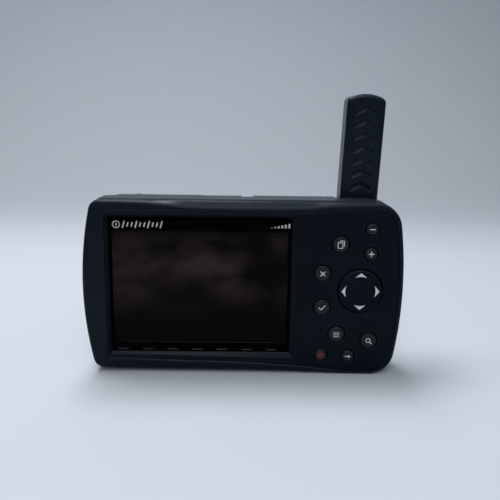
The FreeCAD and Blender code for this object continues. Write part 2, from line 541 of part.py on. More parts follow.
# ---------------------------------------------------------------- battery pack
def pack_pieces():
    """Pack case in two halves around two cells, its circuit board and contact pads."""
    split_y = 8.0
    skin = 1.5
    outer = rounded_plate(PACK, PACK_FRONT_Y, BACK_Y, 4.0)
    outer = outer.makeFillet(3.2, edges_at_y(outer, BACK_Y))
    inner = rounded_plate(grown(PACK, -skin), PACK_FRONT_Y + skin, BACK_Y - skin, 2.6)
    post = rod_y(*STUD, 4.2, PACK_FRONT_Y, BACK_Y - 4.0)
    pocket = rod_y(*STUD, 6.4, BACK_Y - 3.2, BACK_Y + 1)
    boss = rod_y(*STUD, 8.0, BACK_Y - 4.7, BACK_Y - skin).common(outer)
    case = outer.cut(inner).fuse([post, boss])
    case = case.cut(pocket).cut(rod_y(*STUD, STUD_R + 0.1, PACK_FRONT_Y - 1, BACK_Y + 1))
    # shallow finger hollow below the stud and grip ribs along both ends of the back
    ribs = []
    for k in range(5):
        for x0 in (PACK[0] + 5.0, PACK[2] - 9.0):
            z = 34.0 + 6.0 * k
            ribs.append(rounded_plate((x0, z, x0 + 4.0, z + 2.2), BACK_Y - 0.5, BACK_Y + 1, 1.0))
    case = case.cut(Part.makeCompound(ribs))
    case = case.cut(box(CONTACT_X[0] - 1.6, PACK_FRONT_Y - 1, 22.4, CONTACT_X[-1] + 1.6, PACK_FRONT_Y + 0.9, 25.6))
    pads = [box(x - 1.2, PACK_FRONT_Y + 0.9, 22.8, x + 1.2, PACK_FRONT_Y + 2.4, 25.2) for x in CONTACT_X]
    case = case.cut(Part.makeCompound(pads))
    low = box(-100, -50, -10, 100, split_y, 100)
    high = box(-100, split_y, -10, 100, 60, 100)
    save("pack_cover", case.common(high).removeSplitter())
    save("pack_base", case.common(low).removeSplitter())
    mid_x = (PACK[0] + PACK[2]) / 2
    centre_y = PACK_FRONT_Y + skin + CELL_R + 0.2
    cells = []
    for z in (36.8, 56.0):
        can = rod_x(centre_y, z, CELL_R, mid_x - CELL_L / 2, mid_x + CELL_L / 2)
        can = can.makeFillet(0.8, [e for e in can.Edges if isinstance(e.Curve, Part.Circle)])
        cells.append(can.fuse(rod_x(centre_y, z, 2.8, mid_x + CELL_L / 2 - 0.1, mid_x + CELL_L / 2 + 1.2)))
    save("battery_cells", *cells)
    save("pack_board", box(6.0, PACK_FRONT_Y + 2.4, 17.6, 30.5, PACK_FRONT_Y + 3.4, 26.4))
    save("pack_contacts", *pads)


def contact_pins():
    pins = [rod_y(x, 24.0, 0.8, 1.2, PACK_FRONT_Y + 0.7) for x in CONTACT_X]
    pins = [p.makeFillet(0.5, edges_at_y(p, PACK_FRONT_Y + 0.7)) for p in pins]
    shells = [rod_y(x, 24.0, 1.25, 0.4, 2.6) for x in CONTACT_X]
    return [a.fuse(b) for a, b in zip(pins, shells)]


def latch_pieces():
    """Quarter-turn stud with a fold-flat wire ring, and the brass seat it turns in."""
    x, z = STUD
    head_y = BACK_Y - 3.0
    head = rod_y(x, z, 6.0, head_y, BACK_Y - 0.3)
    head = head.makeFillet(0.4, edges_at_y(head, BACK_Y - 0.3))
    stud = head.fuse(rod_y(x, z, STUD_R, -2.5, head_y + 0.1)).removeSplitter()
    # groove that the ring hangs in, with blind holes for the ends of its hinge bar
    bow_r = 3.9
    wire_r = 0.7
    hinge_z = z + 2.2
    groove = rod_y(x, hinge_z, bow_r + wire_r + 0.35, BACK_Y - 2.1, BACK_Y + 1)
    groove = groove.common(box(x - 10, -50, z - 20, x + 10, 50, hinge_z + wire_r + 0.35))
    ring_y = BACK_Y - 0.3 - wire_r
    groove = groove.fuse(rod_x(ring_y, hinge_z, wire_r + 0.08, x - 5.25, x + 5.25))
    island = rod_y(x, hinge_z, bow_r - wire_r - 0.5, BACK_Y - 3, BACK_Y + 1)
    island = island.common(box(x - 10, -50, z - 20, x + 10, 50, hinge_z - wire_r - 0.6))
    save("latch_stud", stud.cut(groove.cut(island)))
    a, b = V(x - bow_r, ring_y, hinge_z), V(x + bow_r, ring_y, hinge_z)
    bow = Part.Wire([Part.Arc(a, V(x, ring_y, hinge_z - bow_r), b).toShape()])
    section = Part.Wire([Part.Circle(a, V(0, 0, 1), wire_r).toShape()])
    arch = bow.makePipeShell([section], True, True)
    bar = rod_x(ring_y, hinge_z, wire_r, x - 5.1, x + 5.1)
    save("latch_ring", arch.fuse(bar).removeSplitter())
    seat = rod_y(x, z, 4.0, -5.0, PACK_FRONT_Y - 0.2).cut(rod_y(x, z, STUD_R + 0.08, -4.2, PACK_FRONT_Y + 1))
    save("latch_seat", seat)


# ---------------------------------------------------------------- antenna
def canted(shape):
    """Carries a shape drawn upright into the antenna's slightly drooped frame."""
    return turned(shape, ANTENNA_PIVOT, V(0, 1, 0), ANTENNA_CANT)


def blade_wire(y, inset):
    """Front view of the blade: straight sides, a bowed tip with small corners, a plain lower end."""
    px, pz = ANTENNA_PIVOT.x, ANTENNA_PIVOT.z
    half = ANTENNA_W / 2 - inset
    top_r = ANTENNA_TOP_R - inset
    tip = ANTENNA_TIP_Z - inset
    cz = tip - top_r
    corner_r = 2.8 - inset * 0.5
    cx = half - corner_r
    corner_z = cz + math.sqrt((top_r - corner_r) ** 2 - cx ** 2)
    k = top_r / (top_r - corner_r)
    on_top = (cx * k, cz + (corner_z - cz) * k)
    mid = ((on_top[0] - cx) + corner_r, (on_top[1] - corner_z))
    s = corner_r / math.hypot(*mid)
    low = pz - ANTENNA_T / 2 - 0.5

    def p(x, z):
        return V(px + x, y, z)

    edges = [
        Part.LineSegment(p(-half, low), p(-half, corner_z)).toShape(),
        Part.Arc(p(-half, corner_z), p(-cx - mid[0] * s, corner_z + mid[1] * s), p(-on_top[0], on_top[1])).toShape(),
        Part.Arc(p(-on_top[0], on_top[1]), p(0, tip), p(*on_top)).toShape(),
        Part.Arc(p(*on_top), p(cx + mid[0] * s, corner_z + mid[1] * s), p(half, corner_z)).toShape(),
        Part.LineSegment(p(half, corner_z), p(half, low)).toShape(),
        Part.LineSegment(p(half, low), p(-half, low)).toShape(),
    ]
    return Part.Wire(edges)


def chevron(z, depth_y):
    """One engraved chevron, point up."""
    px = ANTENNA_PIVOT.x
    w, rise, stroke = 4.6, 2.3, 2.1
    shape = [(-w, z), (0, z + rise), (w, z), (w, z + stroke), (0, z + rise + stroke), (-w, z + stroke)]
    points = [V(px + x, depth_y, zz) for x, zz in shape]
    return Part.Face(Part.makePolygon(points + points[:1])).extrude(V(0, -3, 0))


def antenna_pieces():
    """Hollow blade in two shells round a four-wire helix, with the plug that it swings on."""
    y0 = ANTENNA_PIVOT.y - ANTENNA_T / 2
    y1 = ANTENNA_PIVOT.y + ANTENNA_T / 2
    px, pz = ANTENNA_PIVOT.x, ANTENNA_PIVOT.z
    blade = prism(blade_wire(0, 0.0), y0, y1)
    for y in (y0, y1):
        rim = [e for e in edges_at_y(blade, y) if e.BoundBox.ZMax > pz]
        blade = blade.makeFillet(ANTENNA_EDGE_R, rim)
    heel = rod_x(ANTENNA_PIVOT.y, pz, ANTENNA_T / 2, px - 20, px + 20)
    keep = box(px - 20, y0 - 1, pz, px + 20, y1 + 1, ANTENNA_TIP_Z + 1).fuse(heel)
    blade = blade.common(keep)
    hub = rod_x(ANTENNA_PIVOT.y, pz, HUB_R, px - ANTENNA_W / 2 - 1.9, px - ANTENNA_W / 2 + 2)
    blade = blade.fuse(hub)
    hollow = rounded_plate((px - 7.3, pz + 1.0, px + 7.3, ANTENNA_TIP_Z - 4.0), y0 + 1.6, y1 - 1.6, 2.0)
    hollow = hollow.fuse(box(px - 7.3, y0 + 3.5, pz - 4.0, px + 7.3, y1 - 3.5, pz + 2.0))
    blade = blade.cut(hollow)
    blade = blade.cut(rod_x(ANTENNA_PIVOT.y, pz, 2.52, px - 14, px - 5))
    marks = [chevron(pz + 11.6 + CHEVRON_PITCH * k, y0 + 0.9) for k in range(CHEVRONS)]
    blade = blade.cut(Part.makeCompound(marks))
    mid = ANTENNA_PIVOT.y
    front_half = blade.common(box(px - 30, y0 - 5, pz - 30, px + 30, mid, ANTENNA_TIP_Z + 5))
    rear_half = blade.common(box(px - 30, mid, pz - 30, px + 30, y1 + 5, ANTENNA_TIP_Z + 5))
    save("antenna_front_shell", canted(front_half.removeSplitter()))
    save("antenna_rear_shell", canted(rear_half.removeSplitter()))
    base_z, length, r = pz + 12.0, 36.0, 4.05
    tube = Part.makeCylinder(r, length, V(px, mid, base_z)).cut(
        Part.makeCylinder(r - 0.6, length + 2, V(px, mid, base_z - 1)))
    save("antenna_former", canted(tube))
    strips = []
    for k in range(4):
        path = Part.makeHelix(length * 2, length - 4.0, r + 0.25)
        start = V(r + 0.25, 0, 0)
        section = Part.Wire([Part.Circle(start, V(0, 1, 0.8), 0.22).toShape()])
        strip = Part.Wire(path.Edges).makePipeShell([section], True, True)
        strip.rotate(V(0, 0, 0), V(0, 0, 1), 90 * k)
        strip.translate(V(px, mid, base_z + 2.0))
        strips.append(canted(strip))
    save("antenna_helix", *strips)
    board = box(px - 5.5, mid - 0.5, pz + 1.5, px + 5.5, mid + 0.5, pz + 11.8)
    save("antenna_board", canted(board))
    plug = rod_x(mid, pz, 1.8, px - 17.5, px - 11.0).fuse(rod_x(mid, pz, 2.5, px - 11.1, px - 6.0))
    plug = plug.fuse(rod_x(mid, pz, 0.45, px - 19.0, px - 17.4)).removeSplitter()
    save("antenna_plug", canted(plug))
    socket = rod_x(mid, pz, 3.5, px - 21.0, px - 11.6).cut(rod_x(mid, pz, 1.88, px - 19.2, px - 11.0))
    save("antenna_socket", canted(socket))


def main():
    save("front_casing", front_casing())
    save("face_panel", face_panel())
    display_pieces()
    for name, (x, z, d) in KEYS.items():
        save(name, key_cap(x, z, d))
    rocker_pieces()
    keypad_pieces()
    save("casing_gasket", casing_gasket())
    save("rear_casing", rear_casing())
    save("casing_screws", *casing_screws())
    board_pieces()
    socket_pieces()
    port_caps()
    pack_pieces()
    save("battery_contacts", *contact_pins())
    latch_pieces()
    antenna_pieces()


main()
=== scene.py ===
"""Looks for a handheld satellite navigator: finishes for its casing, screen and keys, printed signs, and a
plain stage."""

import bmesh
import bpy
import math
from mathutils import Euler, Matrix, Vector
from mathutils.bvhtree import BVHTree


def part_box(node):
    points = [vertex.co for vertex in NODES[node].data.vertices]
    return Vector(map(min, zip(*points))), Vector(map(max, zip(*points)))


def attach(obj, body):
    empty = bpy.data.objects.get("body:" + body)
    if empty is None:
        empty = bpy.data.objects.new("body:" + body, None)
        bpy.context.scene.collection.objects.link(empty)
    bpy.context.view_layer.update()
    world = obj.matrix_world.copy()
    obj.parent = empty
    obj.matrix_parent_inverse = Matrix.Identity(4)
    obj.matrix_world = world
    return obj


bl_info = {
    "name": "Handheld Navigator",
    "version": (1, 0, 0),
    "blender": (4, 5, 0),
    "location": "3D View > Sidebar > Navigator",
    "description": "Finishes, printed signs and a plain stage for a handheld satellite navigator",
    "category": "Object",
}

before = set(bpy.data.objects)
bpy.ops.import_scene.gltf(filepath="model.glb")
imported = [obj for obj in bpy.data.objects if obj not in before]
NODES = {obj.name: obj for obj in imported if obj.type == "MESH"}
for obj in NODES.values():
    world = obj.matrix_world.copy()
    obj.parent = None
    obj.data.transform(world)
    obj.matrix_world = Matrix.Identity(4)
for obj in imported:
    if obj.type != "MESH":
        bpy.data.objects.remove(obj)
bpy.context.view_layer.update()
MM = 0.001


# ---------------------------------------------------------------- settings
class ShellSettings(bpy.types.PropertyGroup):
    """Colours of the moulded plastic and rubber, and how far the plastic's edges are painted paler, partly as
    rubbing and partly as a painted highlight.
    """
    casing_colour: bpy.props.FloatVectorProperty(
        name="Casing colour", description="Blue-black plastic of the casing", subtype="COLOR",
        default=(0.0022, 0.0058, 0.0126))
    key_colour: bpy.props.FloatVectorProperty(
        name="Key colour", description="Charcoal plastic of the round keys", subtype="COLOR",
        default=(0.0150, 0.0165, 0.0205))
    rubber_colour: bpy.props.FloatVectorProperty(
        name="Rubber colour", description="Black rubber of the port caps and seals", subtype="COLOR",
        default=(0.008, 0.008, 0.009))
    # edges painted paler, partly as rubbing and partly as a painted highlight
    edge_rub_and_highlight: bpy.props.FloatProperty(
        name="Edge wear", description="How much the edges are rubbed pale", min=0.0, max=1.0, default=0.35)


class PrintSettings(bpy.types.PropertyGroup):
    """Sizes of the printed signs."""
    stroke: bpy.props.FloatProperty(
        name="Stroke", description="Line width of the signs on the keys", unit="LENGTH", default=0.42 * MM)
    lift: bpy.props.FloatProperty(
        name="Lift", description="How far the ink stands above the surface", unit="LENGTH", default=0.02 * MM)
    arrow_radius: bpy.props.FloatProperty(
        name="Arrow radius", description="Distance of the rocker's arrows from its middle", unit="LENGTH",
        default=7.6 * MM)


class StageSettings(bpy.types.PropertyGroup):
    """Floor, backdrop and camera."""
    floor_colour: bpy.props.FloatVectorProperty(
        name="Floor colour", description="Pale sweep under and behind the unit", subtype="COLOR",
        default=(0.60, 0.65, 0.72))
    wall_distance: bpy.props.FloatProperty(
        name="Wall distance", description="How far behind the unit the sweep turns up", unit="LENGTH",
        default=0.42)
    lens: bpy.props.FloatProperty(
        name="Lens", description="Focal length of the camera", unit="CAMERA", default=43.2)


# ---------------------------------------------------------------- shader nodes
def fill(tree, socket, value):
    """Gives a socket a number or a colour, or links another node's output to it."""
    if isinstance(value, bpy.types.NodeSocket):
        tree.links.new(value, socket)
    elif isinstance(value, tuple):
        socket.default_value = (*value, 1.0)
    else:
        socket.default_value = value


def math_node(tree, operation, *values, clamp=False):
    """A sum on numbers or sockets."""
    node = tree.nodes.new("ShaderNodeMath")
    node.operation = operation
    node.use_clamp = clamp
    for socket, value in zip(node.inputs, values):
        fill(tree, socket, value)
    return node.outputs[0]


def product(tree, first, *others):
    """Several numbers or sockets multiplied together."""
    for other in others:
        first = math_node(tree, "MULTIPLY", first, other)
    return first


def noise_node(tree, vector, scale, detail, rough):
    """Noise of about the given number of patches to a metre."""
    node = tree.nodes.new("ShaderNodeTexNoise")
    tree.links.new(vector, node.inputs["Vector"])
    for label, value in (("Scale", scale), ("Detail", detail), ("Roughness", rough)):
        fill(tree, node.inputs[label], value)
    return node.outputs["Fac"]


def ramp_node(tree, factor, low, high):
    """Maps low..high to 0..1 smoothly. Where low is the higher one, the ramp falls."""
    node = tree.nodes.new("ShaderNodeMapRange")
    node.interpolation_type = "SMOOTHSTEP"
    node.inputs["From Min"].default_value = low
    node.inputs["From Max"].default_value = high
    tree.links.new(factor, node.inputs["Value"])
    return node.outputs["Result"]


def object_vector(tree):
    """The place on the object, in metres."""
    return tree.nodes.new("ShaderNodeTexCoord").outputs["Object"]


def mapped_vector(tree, scale=(1.0, 1.0, 1.0), turn=(0.0, 0.0, 0.0)):
    """The place on the object, stretched and then turned."""
    mapping = tree.nodes.new("ShaderNodeMapping")
    mapping.inputs["Scale"].default_value = scale
    mapping.inputs["Rotation"].default_value = turn
    tree.links.new(object_vector(tree), mapping.inputs["Vector"])
    return mapping.outputs["Vector"]


def axis_part(tree, vector, axis):
    """A vector's X, Y or Z."""
    node = tree.nodes.new("ShaderNodeSeparateXYZ")
    tree.links.new(vector, node.inputs[0])
    return node.outputs[axis]


def mix_colour(tree, factor, a, b):
    """Mix of two colours, each a triple or a socket."""
    node = tree.nodes.new("ShaderNodeMix")
    node.data_type = "RGBA"
    for socket, value in zip([s for s in node.inputs if s.type == "RGBA"], (a, b)):
        fill(tree, socket, value)
    tree.links.new(factor, node.inputs["Factor"])
    return [s for s in node.outputs if s.type == "RGBA"][0]


def lighter(colour, by, grey=0.0):
    """A colour multiplied, with a little grey added."""
    return tuple(c * by + grey for c in colour)


# ---------------------------------------------------------------- shared shader groups
def new_group(name, inputs, outputs):
    """A shader node group with number inputs. Returns the tree and its two end nodes."""
    tree = bpy.data.node_groups.new(name, "ShaderNodeTree")
    for label, value in inputs.items():
        tree.interface.new_socket(label, in_out="INPUT", socket_type="NodeSocketFloat").default_value = value
    for label, kind in outputs.items():
        tree.interface.new_socket(label, in_out="OUTPUT", socket_type=kind)
    return tree, tree.nodes.new("NodeGroupInput"), tree.nodes.new("NodeGroupOutput")


def build_grain():
    """Fine spark-eroded mould texture, and the slow unevenness of a moulded surface."""
    tree, given, result = new_group(
        "MouldGrain", {"Scale": 2600.0}, {"Height": "NodeSocketFloat", "Patch": "NodeSocketFloat"})
    vector = object_vector(tree)
    fine = noise_node(tree, vector, given.outputs["Scale"], detail=3.0, rough=0.6)
    slow = noise_node(tree, vector, 38.0, detail=3.0, rough=0.55)
    tree.links.new(fine, result.inputs["Height"])
    tree.links.new(slow, result.inputs["Patch"])
    return tree


def build_edges():
    """Rounds sharp edges in the shading. Its Mask marks the edges, broken up by noise, which the plastic
    paints paler, partly as rubbing and partly as a painted highlight. Its Slope marks the slopes that look
    up, where the plastic lays a painted sheen."""
    tree, given, result = new_group(
        "SoftEdges", {"Radius": 0.5 * MM, "Amount": 0.4},
        {"Mask": "NodeSocketFloat", "Slope": "NodeSocketFloat", "Normal": "NodeSocketVector"})
    bevel = tree.nodes.new("ShaderNodeBevel")
    bevel.samples = 6
    tree.links.new(given.outputs["Radius"], bevel.inputs["Radius"])
    rounded = bevel.outputs["Normal"]
    agree = tree.nodes.new("ShaderNodeVectorMath")
    agree.operation = "DOT_PRODUCT"
    tree.links.new(rounded, agree.inputs[0])
    tree.links.new(tree.nodes.new("ShaderNodeNewGeometry").outputs["Normal"], agree.inputs[1])
    bend = math_node(tree, "SUBTRACT", 1.0, agree.outputs["Value"])
    # the edges, which the plastic paints paler, partly as rubbing and partly as a painted highlight
    edge = ramp_node(tree, bend, low=0.03, high=0.20)
    breakup = noise_node(tree, object_vector(tree), 420.0, detail=4.0, rough=0.65)
    breakup = ramp_node(tree, breakup, low=0.38, high=0.66)
    # slopes that look up, where the plastic lays a painted sheen
    slope = ramp_node(tree, axis_part(tree, rounded, "Z"), low=0.08, high=0.70)
    tree.links.new(product(tree, edge, breakup, given.outputs["Amount"]), result.inputs["Mask"])
    tree.links.new(slope, result.inputs["Slope"])
    tree.links.new(rounded, result.inputs["Normal"])
    return tree


def build_dust():
    """Sparse pale specks, and a film that lies on faces that look up."""
    tree, given, result = new_group("DustSpecks", {"Density": 0.4, "Film": 0.3}, {"Mask": "NodeSocketFloat"})
    vector = object_vector(tree)
    cells = tree.nodes.new("ShaderNodeTexVoronoi")
    cells.inputs["Scale"].default_value = 210.0
    tree.links.new(vector, cells.inputs["Vector"])
    dot = ramp_node(tree, cells.outputs["Distance"], low=0.045, high=0.02)
    rare = ramp_node(tree, noise_node(tree, vector, 75.0, detail=2.0, rough=0.7), low=0.60, high=0.68)
    specks = product(tree, dot, rare, given.outputs["Density"])
    normal = tree.nodes.new("ShaderNodeNewGeometry").outputs["Normal"]
    lying = ramp_node(tree, axis_part(tree, normal, "Z"), low=0.35, high=0.95)
    cloud = ramp_node(tree, noise_node(tree, vector, 420.0, detail=6.0, rough=0.75), low=0.40, high=0.80)
    film = product(tree, lying, cloud, given.outputs["Film"])
    tree.links.new(math_node(tree, "ADD", specks, film, clamp=True), result.inputs["Mask"])
    return tree


def build_scratches():
    """A few thin straight scratches in two directions."""
    tree, given, result = new_group("HairScratches", {"Amount": 0.3}, {"Mask": "NodeSocketFloat"})
    lines = []
    for turn, stretch in ((0.5, 16.0), (-0.9, 22.0)):
        vector = mapped_vector(tree, scale=(1.0, 6.0, stretch), turn=(0.0, turn, 0.0))
        pattern = noise_node(tree, vector, 90.0, detail=1.0, rough=0.4)
        lines.append(ramp_node(tree, pattern, low=0.735, high=0.76))
    both = math_node(tree, "MAXIMUM", *lines)
    tree.links.new(product(tree, both, given.outputs["Amount"]), result.inputs["Mask"])
    return tree


BUILDERS = {"MouldGrain": build_grain, "SoftEdges": build_edges, "DustSpecks": build_dust,
            "HairScratches": build_scratches}
GROUPS = {}


def place_group(tree, name, **values):
    """Places a shared group, built on first use, with this material's values."""
    if name not in GROUPS:
        GROUPS[name] = BUILDERS[name]()
    node = tree.nodes.new("ShaderNodeGroup")
    node.node_tree = GROUPS[name]
    for label, value in values.items():
        node.inputs[label].default_value = value
    return node


# ---------------------------------------------------------------- materials
def new_material(name, colour, roughness, metallic=0.0, specular=0.5):
    """A material with one Principled shader. Returns the material, its tree and the shader."""
    material = bpy.data.materials.new(name)
    material.use_nodes = True
    shader = material.node_tree.nodes["Principled BSDF"]
    shader.inputs["Base Color"].default_value = (*colour, 1.0)
    shader.inputs["Roughness"].default_value = roughness
    shader.inputs["Metallic"].default_value = metallic
    shader.inputs["Specular IOR Level"].default_value = specular
    material.diffuse_color = (*colour, 1.0)
    return material, material.node_tree, shader


def add_bump(tree, shader, height, strength, depth, normal=None):
    """Roughens the surface by a height pattern, on top of a normal where one is given."""
    bump = tree.nodes.new("ShaderNodeBump")
    bump.inputs["Strength"].default_value = strength
    bump.inputs["Distance"].default_value = depth
    tree.links.new(height, bump.inputs["Height"])
    if normal is not None:
        tree.links.new(normal, bump.inputs["Normal"])
    tree.links.new(bump.outputs["Normal"], shader.inputs["Normal"])


def add_uneven_gloss(tree, shader, pattern, low, spread):
    """Lets the roughness wander with a pattern."""
    tree.links.new(math_node(tree, "MULTIPLY_ADD", pattern, spread, low), shader.inputs["Roughness"])


def moulded_plastic(name, colour, roughness, depth=0.3, edge=0.35 * MM, edge_rub_and_highlight=0.25, dust=0.4, film=0.06,
                    scratches=0.2, specular=0.25, painted_sheen=0.0):
    """Spark-textured plastic with softened edges painted paler, partly as rubbing and partly as a painted
    highlight, hair scratches, a little dust, and a painted sheen: a paler colour on the slopes that look up,
    standing for the lamps' highlight."""
    material, tree, shader = new_material(name, colour, roughness, specular=specular)
    texture = place_group(tree, "MouldGrain", Scale=2600.0)
    edge_rub_and_sheen = place_group(tree, "SoftEdges", Radius=edge, Amount=edge_rub_and_highlight)
    dusty = place_group(tree, "DustSpecks", Density=dust, Film=film)
    scratched = place_group(tree, "HairScratches", Amount=scratches)
    patches = ramp_node(tree, texture.outputs["Patch"], low=0.3, high=0.7)
    base = mix_colour(tree, patches, lighter(colour, 0.86), lighter(colour, 1.16))
    # painted sheen: the colour turns paler on slopes that look up, standing for the lamps' highlight
    for mask, over in ((product(tree, edge_rub_and_sheen.outputs["Slope"], painted_sheen), lighter(colour, 2.4, 0.014)),
                       # edges painted paler: partly rubbing, partly a painted highlight where light catches
                       # them
                       (edge_rub_and_sheen.outputs["Mask"], lighter(colour, 2.6, 0.012)),
                       (scratched.outputs["Mask"], lighter(colour, 2.0, 0.02)),
                       (dusty.outputs["Mask"], (0.24, 0.24, 0.25))):
        base = mix_colour(tree, mask, base, over)
    tree.links.new(base, shader.inputs["Base Color"])
    add_uneven_gloss(tree, shader, texture.outputs["Patch"], low=roughness - 0.08, spread=0.16)
    add_bump(tree, shader, texture.outputs["Height"], depth, 0.06 * MM, edge_rub_and_sheen.outputs["Normal"])
    return material


def soft_rubber(name, colour):
    """Matte rubber with a chalky bloom."""
    material, tree, shader = new_material(name, colour, 0.7, specular=0.35)
    texture = place_group(tree, "MouldGrain", Scale=1700.0)
    dusty = place_group(tree, "DustSpecks", Density=0.5, Film=0.35)
    patches = ramp_node(tree, texture.outputs["Patch"], low=0.35, high=0.7)
    base = mix_colour(tree, patches, colour, lighter(colour, 1.7, 0.004))
    base = mix_colour(tree, dusty.outputs["Mask"], base, (0.22, 0.22, 0.22))
    tree.links.new(base, shader.inputs["Base Color"])
    add_bump(tree, shader, texture.outputs["Height"], 0.4, 0.05 * MM)
    return material


def worked_metal(name, colour, roughness):
    """Metal with fine level marks and uneven polish."""
    material, tree, shader = new_material(name, colour, roughness, metallic=1.0)
    marks = noise_node(tree, mapped_vector(tree, scale=(1.0, 1.0, 14.0)), 900.0, detail=4.0, rough=0.6)
    patches = noise_node(tree, object_vector(tree), 160.0, detail=3.0, rough=0.6)
    patches = ramp_node(tree, patches, low=0.35, high=0.7)
    tree.links.new(mix_colour(tree, patches, lighter(colour, 0.8), colour), shader.inputs["Base Color"])
    add_uneven_gloss(tree, shader, marks, low=roughness - 0.12, spread=0.25)
    add_bump(tree, shader, marks, 0.15, 0.03 * MM)
    return material


def clear_glass(name, colour):
    """Clear front window, which lets the lamps' light straight through to the display."""
    material, tree, shader = new_material(name, colour, 0.0)
    shadow = tree.nodes.new("ShaderNodeLightPath").outputs["Is Shadow Ray"]
    tree.links.new(math_node(tree, "SUBTRACT", 1.0, shadow), shader.inputs["Alpha"])
    shader.inputs["Transmission Weight"].default_value = 1.0
    shader.inputs["IOR"].default_value = 1.06
    faint = noise_node(tree, object_vector(tree), 60.0, detail=3.0, rough=0.6)
    tree.links.new(mix_colour(tree, faint, (0.90, 0.89, 0.89), colour), shader.inputs["Base Color"])
    return material


def unlit_screen(name, colour):
    """Dark display with soft warm clouds across its middle, between two heights."""
    material, tree, shader = new_material(name, colour, 0.6, specular=0.0)
    vector = mapped_vector(tree, scale=(1.0, 1.0, 1.7), turn=(0.0, 0.35, 0.0))
    cloud = ramp_node(tree, noise_node(tree, vector, 38.0, detail=3.5, rough=0.5), low=0.38, high=0.64)
    height = axis_part(tree, object_vector(tree), "Z")
    above = ramp_node(tree, height, low=22 * MM, high=48 * MM)
    below = ramp_node(tree, height, low=72 * MM, high=58 * MM)
    warm = product(tree, cloud, above, below)
    tree.links.new(mix_colour(tree, warm, colour, (0.0215, 0.0152, 0.0146)), shader.inputs["Base Color"])
    return material


def flecked_ink(name, colour, roughness=0.55, specular=0.5):
    """Screen-printed ink, a little thin in places."""
    material, tree, shader = new_material(name, colour, roughness, specular=specular)
    thin = noise_node(tree, object_vector(tree), 1500.0, detail=4.0, rough=0.7)
    thin = ramp_node(tree, thin, low=0.62, high=0.80)
    tree.links.new(mix_colour(tree, thin, colour, lighter(colour, 0.55)), shader.inputs["Base Color"])
    return material


def circuit_board(name, colour):
    """Green solder mask over a faint pattern of tracks."""
    material, tree, shader = new_material(name, colour, 0.4)
    tracks = tree.nodes.new("ShaderNodeTexBrick")
    tracks.inputs["Scale"].default_value = 260.0
    tracks.inputs["Mortar Size"].default_value = 0.03
    tree.links.new(mapped_vector(tree, turn=(math.pi / 2, 0.0, 0.0)), tracks.inputs["Vector"])
    tree.links.new(mix_colour(tree, tracks.outputs["Fac"], colour, (0.05, 0.20, 0.09)),
                   shader.inputs["Base Color"])
    return material


def finish_recipes():
    """How each finish is made: its maker, its colour and the maker's other values."""
    shell = bpy.context.scene.navigator_shell
    casing, key, rubber = tuple(shell.casing_colour), tuple(shell.key_colour), tuple(shell.rubber_colour)
    return {
        # A plastic's last amount is its painted sheen, a paler colour on the slopes that look up; its edge
        # paling amount is partly rubbing and partly a painted highlight.
        "casing_plastic": (moulded_plastic, casing, dict(
            roughness=0.30, edge=1.8 * MM, edge_rub_and_highlight=shell.edge_rub_and_highlight, specular=0.12, painted_sheen=0.8)),
        "face_plastic": (moulded_plastic, lighter(casing, 0.62), dict(
            roughness=0.34, depth=0.25, edge=0.6 * MM, edge_rub_and_highlight=0.2, film=0.0, scratches=0.3, specular=0.085,
            painted_sheen=1.0)),
        "antenna_plastic": (moulded_plastic, lighter(casing, 1.25), dict(
            roughness=0.28, edge=1.2 * MM, edge_rub_and_highlight=shell.edge_rub_and_highlight, specular=0.2, painted_sheen=0.9)),
        "key_plastic": (moulded_plastic, key, dict(
            roughness=0.36, depth=0.2, edge=0.9 * MM, edge_rub_and_highlight=0.1, scratches=0.1, specular=0.14, painted_sheen=0.4)),
        # the strong edge paling here paints a pale ring about the rim, a painted highlight
        "rocker_plastic": (moulded_plastic, lighter(casing, 0.72), dict(
            roughness=0.34, depth=0.2, edge=0.9 * MM, edge_rub_and_highlight=0.8, scratches=0.1, specular=0.07, painted_sheen=1.0)),
        "chip_black": (moulded_plastic, (0.012, 0.012, 0.013), dict(
            roughness=0.5, edge_rub_and_highlight=0.1, dust=0.1, film=0.0, scratches=0.0)),
        "ivory_plastic": (moulded_plastic, (0.62, 0.58, 0.46), dict(
            roughness=0.5, edge_rub_and_highlight=0.0, dust=0.1, film=0.0, scratches=0.0)),
        "black_rubber": (soft_rubber, rubber, {}),
        "grey_silicone": (soft_rubber, (0.10, 0.10, 0.105), {}),
        "window_glass": (clear_glass, (1.0, 1.0, 1.0), {}),
        "unlit_screen": (unlit_screen, (0.0026, 0.0024, 0.0025), {}),
        "mask_ink": (flecked_ink, (0.0022, 0.0022, 0.0026), dict(roughness=0.6, specular=0.0)),
        "white_ink": (flecked_ink, (0.62, 0.63, 0.65), {}),
        "grey_ink": (flecked_ink, (0.38, 0.38, 0.39), dict(specular=0.1)),
        # grey dashes standing for glints on the window's lower edge: painted highlights, not ink
        "slot_ink": (flecked_ink, (0.045, 0.045, 0.050), dict(specular=0.1)),
        "red_ink": (flecked_ink, (0.42, 0.03, 0.03), {}),
        "amber_film": (flecked_ink, (0.45, 0.20, 0.04), dict(roughness=0.3)),
        "cell_sleeve": (flecked_ink, (0.05, 0.14, 0.38), dict(roughness=0.35)),
        "pressed_steel": (worked_metal, (0.56, 0.56, 0.57), dict(roughness=0.34)),
        "screw_steel": (worked_metal, (0.30, 0.30, 0.31), dict(roughness=0.38)),
        "gold_contact": (worked_metal, (0.86, 0.62, 0.25), dict(roughness=0.28)),
        "copper_foil": (worked_metal, (0.80, 0.42, 0.24), dict(roughness=0.33)),
        "circuit_board": (circuit_board, (0.02, 0.12, 0.05), {}),
    }


FINISHES = {}


def finish(name):
    """The named finish, made on first use."""
    if name not in FINISHES:
        maker, colour, values = finish_recipes()[name]
        FINISHES[name] = maker(name, colour, **values)
    return FINISHES[name]


